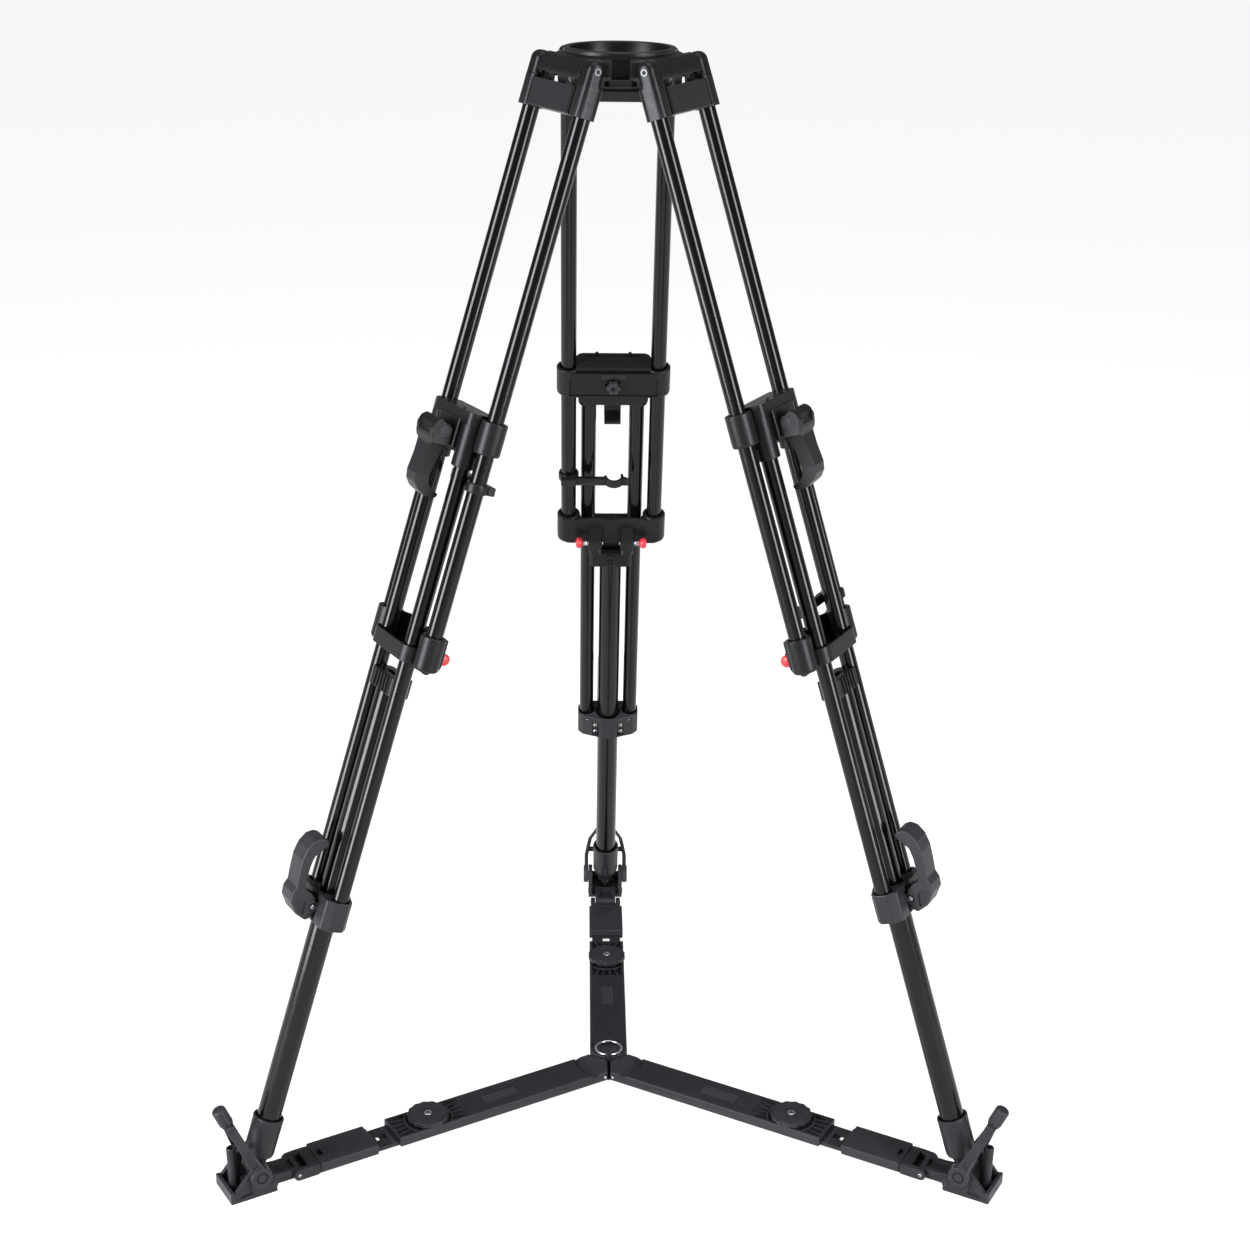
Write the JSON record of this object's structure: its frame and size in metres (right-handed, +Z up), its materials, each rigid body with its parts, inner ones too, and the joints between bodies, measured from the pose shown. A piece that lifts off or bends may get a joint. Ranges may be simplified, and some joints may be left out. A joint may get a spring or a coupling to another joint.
{
  "type": "camera tripod",
  "caption": "Heavy camera tripod with an empty half-ball bowl, twin-tube two-stage legs with lever clamps, and a telescoping ground spreader that locks to the feet.",
  "frame": {"origin": "on the floor, below the middle of the bounding box", "axes": "+Z up from the floor, +Y towards the rear leg, +X to the right as seen from the front"},
  "size_m": [0.8728, 0.7699, 1.193],
  "materials": {
    "cast_black": "matt black powder coat",
    "cast_grey": "satin dark grey coat on a casting",
    "tube_black": "black anodised tube, semi-gloss",
    "moulded_grey": "fine moulded texture",
    "lever_grey": "satin dark grey",
    "knob_red": "smooth red plastic",
    "bright_steel": "polished wire"
  },
  "bodies": {
    "crown": {"crown": "cast_black"},
    "upper_rear": {"yoke_rear": "cast_black", "outer_tube_a_rear": "tube_black", "outer_tube_b_rear": "tube_black", "lower_casting_rear": "cast_grey"},
    "middle_rear": {"clamp_casting_rear": "cast_black", "middle_frame_rear": "tube_black"},
    "lower_rear": {"lower_tube_rear": "tube_black", "foot_socket_rear": "cast_grey"},
    "clamp_lever_rear": {"clamp_lever_rear": "cast_black"},
    "tension_knob_rear": {"tension_knob_rear": "cast_black"},
    "lower_lever_rear": {"lower_lever_rear": "lever_grey"},
    "cable_clip_rear": {"cable_clip_rear": "cast_black"},
    "spring_pin_a_rear": {"spring_pin_a_rear": "knob_red"},
    "spring_pin_b_rear": {"spring_pin_b_rear": "knob_red"},
    "foot_block_rear": {"foot_block_rear": "moulded_grey"},
    "foot_lever_rear": {"foot_lever_rear": "moulded_grey"},
    "arm_outer_rear": {"arm_outer_rear": "moulded_grey"},
    "disc_knob_rear": {"disc_knob_rear": "moulded_grey"},
    "upper_left": {"yoke_left": "cast_black", "outer_tube_a_left": "tube_black", "outer_tube_b_left": "tube_black", "lower_casting_left": "cast_grey"},
    "middle_left": {"clamp_casting_left": "cast_black", "middle_frame_left": "tube_black"},
    "lower_left": {"lower_tube_left": "tube_black", "foot_socket_left": "cast_grey"},
    "clamp_lever_left": {"clamp_lever_left": "cast_black"},
    "tension_knob_left": {"tension_knob_left": "cast_black"},
    "lower_lever_left": {"lower_lever_left": "lever_grey"},
    "cable_clip_left": {"cable_clip_left": "cast_black"},
    "spring_pin_a_left": {"spring_pin_a_left": "knob_red"},
    "spring_pin_b_left": {"spring_pin_b_left": "knob_red"},
    "foot_block_left": {"foot_block_left": "moulded_grey"},
    "foot_lever_left": {"foot_lever_left": "moulded_grey"},
    "arm_outer_left": {"arm_outer_left": "moulded_grey"},
    "disc_knob_left": {"disc_knob_left": "moulded_grey"},
    "upper_right": {"yoke_right": "cast_black", "outer_tube_a_right": "tube_black", "outer_tube_b_right": "tube_black", "lower_casting_right": "cast_grey"},
    "middle_right": {"clamp_casting_right": "cast_black", "middle_frame_right": "tube_black"},
    "lower_right": {"lower_tube_right": "tube_black", "foot_socket_right": "cast_grey"},
    "clamp_lever_right": {"clamp_lever_right": "cast_black"},
    "tension_knob_right": {"tension_knob_right": "cast_black"},
    "lower_lever_right": {"lower_lever_right": "lever_grey"},
    "cable_clip_right": {"cable_clip_right": "cast_black"},
    "spring_pin_a_right": {"spring_pin_a_right": "knob_red"},
    "spring_pin_b_right": {"spring_pin_b_right": "knob_red"},
    "foot_block_right": {"foot_block_right": "moulded_grey"},
    "foot_lever_right": {"foot_lever_right": "moulded_grey"},
    "arm_outer_right": {"arm_outer_right": "moulded_grey"},
    "disc_knob_right": {"disc_knob_right": "moulded_grey"},
    "hub": {"hub": "moulded_grey", "arm_inner_rear": "moulded_grey", "arm_inner_left": "moulded_grey", "arm_inner_right": "moulded_grey"},
    "carrying_ring": {"carrying_ring": "bright_steel"}
  },
  "joints": [
    {"name": "leg_spread_rear", "type": "hinge", "parent": "crown", "child": "upper_rear", "pos_m": [0, -0.0569, 1.17725], "axis": [1, 0, 0], "range_deg": [-1.2, 5]},
    {"name": "middle_slide_rear", "type": "slide", "parent": "upper_rear", "child": "middle_rear", "axis": [0, 0.3177, -0.9482], "range_m": [-0.272, 0.09]},
    {"name": "lower_slide_rear", "type": "slide", "parent": "middle_rear", "child": "lower_rear", "axis": [0, 0.3177, -0.9482], "range_m": [-0.165, 0.205]},
    {"name": "clamp_lever_hinge_rear", "type": "hinge", "parent": "middle_rear", "child": "clamp_lever_rear", "pos_m": [0, 0.09854, 0.80906], "axis": [1, 0, 0], "range_deg": [0, 65]},
    {"name": "lower_lever_hinge_rear", "type": "hinge", "parent": "middle_rear", "child": "lower_lever_rear", "pos_m": [0, 0.26329, 0.3111], "axis": [-1, 0, 0], "range_deg": [0, 45]},
    {"name": "tension_knob_turn_rear", "type": "hinge", "parent": "middle_rear", "child": "tension_knob_rear", "pos_m": [0, 0.05349, 0.80029], "axis": [0, 0.9482, 0.3177], "continuous": true},
    {"name": "clip_slide_rear", "type": "slide", "parent": "upper_rear", "child": "cable_clip_rear", "axis": [0, 0.3177, -0.9482], "range_m": [-0.09, 0.045]},
    {"name": "spring_pin_slide_a_rear", "type": "slide", "parent": "upper_rear", "child": "spring_pin_a_rear", "axis": [1, 0, 0], "range_m": [0, 0.006], "stiffness_N_per_m": 600, "springref_m": -0.003},
    {"name": "spring_pin_slide_b_rear", "type": "slide", "parent": "upper_rear", "child": "spring_pin_b_rear", "axis": [-1, 0, 0], "range_m": [0, 0.006], "stiffness_N_per_m": 600, "springref_m": -0.003},
    {"name": "ankle_rear", "type": "hinge", "parent": "lower_rear", "child": "foot_block_rear", "pos_m": [0, 0.3352, 0.027], "axis": [-1, 0, 0], "range_deg": [-1.2, 5]},
    {"name": "foot_lever_hinge_rear", "type": "hinge", "parent": "foot_block_rear", "child": "foot_lever_rear", "pos_m": [0, 0.3352, 0.027], "axis": [-1, 0, 0], "range_deg": [0, 55]},
    {"name": "arm_slide_rear", "type": "slide", "parent": "hub", "child": "arm_outer_rear", "axis": [0, 1, 0], "range_m": [-0.0238, 0.0989]},
    {"name": "disc_knob_turn_rear", "type": "hinge", "parent": "hub", "child": "disc_knob_rear", "pos_m": [0, 0.1221, 0.0155], "axis": [0, 0, 1], "continuous": true},
    {"name": "leg_spread_left", "type": "hinge", "parent": "crown", "child": "upper_left", "pos_m": [-0.05283, -0.1484, 1.17725], "axis": [-0.5, 0.866, 0], "range_deg": [-1.2, 5]},
    {"name": "middle_slide_left", "type": "slide", "parent": "upper_left", "child": "middle_left", "axis": [-0.2752, -0.1589, -0.9482], "range_m": [-0.252, 0.014]},
    {"name": "lower_slide_left", "type": "slide", "parent": "middle_left", "child": "lower_left", "axis": [-0.2752, -0.1589, -0.9482], "range_m": [-0.185, 0.205]},
    {"name": "clamp_lever_hinge_left", "type": "hinge", "parent": "middle_left", "child": "clamp_lever_left", "pos_m": [-0.18194, -0.22294, 0.82802], "axis": [-0.5, 0.866, 0], "range_deg": [0, 65]},
    {"name": "lower_lever_hinge_left", "type": "hinge", "parent": "middle_left", "child": "lower_lever_left", "pos_m": [-0.32461, -0.30532, 0.33006], "axis": [0.5, -0.866, 0], "range_deg": [0, 45]},
    {"name": "tension_knob_turn_left", "type": "hinge", "parent": "middle_left", "child": "tension_knob_left", "pos_m": [-0.14292, -0.20042, 0.81925], "axis": [-0.8212, -0.4741, 0.3177], "continuous": true},
    {"name": "clip_slide_left", "type": "slide", "parent": "upper_left", "child": "cable_clip_left", "axis": [-0.2752, -0.1589, -0.9482], "range_m": [-0.012, 0.15]},
    {"name": "spring_pin_slide_a_left", "type": "slide", "parent": "upper_left", "child": "spring_pin_a_left", "axis": [-0.5, 0.866, 0], "range_m": [0, 0.006], "stiffness_N_per_m": 600, "springref_m": -0.003},
    {"name": "spring_pin_slide_b_left", "type": "slide", "parent": "upper_left", "child": "spring_pin_b_left", "axis": [0.5, -0.866, 0], "range_m": [0, 0.006], "stiffness_N_per_m": 600, "springref_m": -0.003},
    {"name": "ankle_left", "type": "hinge", "parent": "lower_left", "child": "foot_block_left", "pos_m": [-0.3924, -0.34445, 0.027], "axis": [0.5, -0.866, 0], "range_deg": [-1.2, 5]},
    {"name": "foot_lever_hinge_left", "type": "hinge", "parent": "foot_block_left", "child": "foot_lever_left", "pos_m": [-0.3924, -0.34445, 0.027], "axis": [0.5, -0.866, 0], "range_deg": [0, 55]},
    {"name": "arm_slide_left", "type": "slide", "parent": "hub", "child": "arm_outer_left", "axis": [-0.866, -0.5, 0], "range_m": [-0.0238, 0.0989]},
    {"name": "disc_knob_turn_left", "type": "hinge", "parent": "hub", "child": "disc_knob_left", "pos_m": [-0.20785, -0.2379, 0.0155], "axis": [0, 0, 1], "continuous": true},
    {"name": "leg_spread_right", "type": "hinge", "parent": "crown", "child": "upper_right", "pos_m": [0.05283, -0.1484, 1.17725], "axis": [-0.5, -0.866, 0], "range_deg": [-1.2, 5]},
    {"name": "middle_slide_right", "type": "slide", "parent": "upper_right", "child": "middle_right", "axis": [0.2752, -0.1589, -0.9482], "range_m": [-0.241, 0.13]},
    {"name": "lower_slide_right", "type": "slide", "parent": "middle_right", "child": "lower_right", "axis": [0.2752, -0.1589, -0.9482], "range_m": [-0.195, 0.205]},
    {"name": "clamp_lever_hinge_right", "type": "hinge", "parent": "middle_right", "child": "clamp_lever_right", "pos_m": [0.17891, -0.2212, 0.83845], "axis": [-0.5, -0.866, 0], "range_deg": [0, 65]},
    {"name": "lower_lever_hinge_right", "type": "hinge", "parent": "middle_right", "child": "lower_lever_right", "pos_m": [0.32159, -0.30357, 0.34049], "axis": [0.5, 0.866, 0], "range_deg": [0, 45]},
    {"name": "tension_knob_turn_right", "type": "hinge", "parent": "middle_right", "child": "tension_knob_right", "pos_m": [0.1399, -0.19867, 0.82969], "axis": [0.8212, -0.4741, 0.3177], "continuous": true},
    {"name": "clip_slide_right", "type": "slide", "parent": "upper_right", "child": "cable_clip_right", "axis": [0.2752, -0.1589, -0.9482], "range_m": [-0.13, 0.008]},
    {"name": "spring_pin_slide_a_right", "type": "slide", "parent": "upper_right", "child": "spring_pin_a_right", "axis": [-0.5, -0.866, 0], "range_m": [0, 0.006], "stiffness_N_per_m": 600, "springref_m": -0.003},
    {"name": "spring_pin_slide_b_right", "type": "slide", "parent": "upper_right", "child": "spring_pin_b_right", "axis": [0.5, 0.866, 0], "range_m": [0, 0.006], "stiffness_N_per_m": 600, "springref_m": -0.003},
    {"name": "ankle_right", "type": "hinge", "parent": "lower_right", "child": "foot_block_right", "pos_m": [0.3924, -0.34445, 0.027], "axis": [0.5, 0.866, 0], "range_deg": [-1.2, 5]},
    {"name": "foot_lever_hinge_right", "type": "hinge", "parent": "foot_block_right", "child": "foot_lever_right", "pos_m": [0.3924, -0.34445, 0.027], "axis": [0.5, 0.866, 0], "range_deg": [0, 55]},
    {"name": "arm_slide_right", "type": "slide", "parent": "hub", "child": "arm_outer_right", "axis": [0.866, -0.5, 0], "range_m": [-0.0238, 0.0989]},
    {"name": "disc_knob_turn_right", "type": "hinge", "parent": "hub", "child": "disc_knob_right", "pos_m": [0.20785, -0.2379, 0.0155], "axis": [0, 0, 1], "continuous": true},
    {"name": "hub_lift", "type": "slide", "parent": "crown", "child": "hub", "axis": [0, 0, 1], "range_m": [-0.0093, 0.0387]},
    {"name": "ring_swing", "type": "hinge", "parent": "hub", "child": "carrying_ring", "pos_m": [0, -0.1139, 0.0195], "axis": [1, 0, 0], "range_deg": [0, 170]}
  ],
  "couplings": [
    {"joint": "ankle_rear", "follows": "leg_spread_rear", "ratio": 1},
    {"joint": "arm_slide_rear", "follows": "leg_spread_rear", "m_per_rad": 1.1317},
    {"joint": "leg_spread_left", "follows": "leg_spread_rear", "ratio": 1},
    {"joint": "ankle_left", "follows": "leg_spread_rear", "ratio": 1},
    {"joint": "arm_slide_left", "follows": "leg_spread_rear", "m_per_rad": 1.1317},
    {"joint": "leg_spread_right", "follows": "leg_spread_rear", "ratio": 1},
    {"joint": "ankle_right", "follows": "leg_spread_rear", "ratio": 1},
    {"joint": "arm_slide_right", "follows": "leg_spread_rear", "m_per_rad": 1.1317},
    {"joint": "hub_lift", "follows": "leg_spread_rear", "m_per_rad": 0.4418}
  ]
}
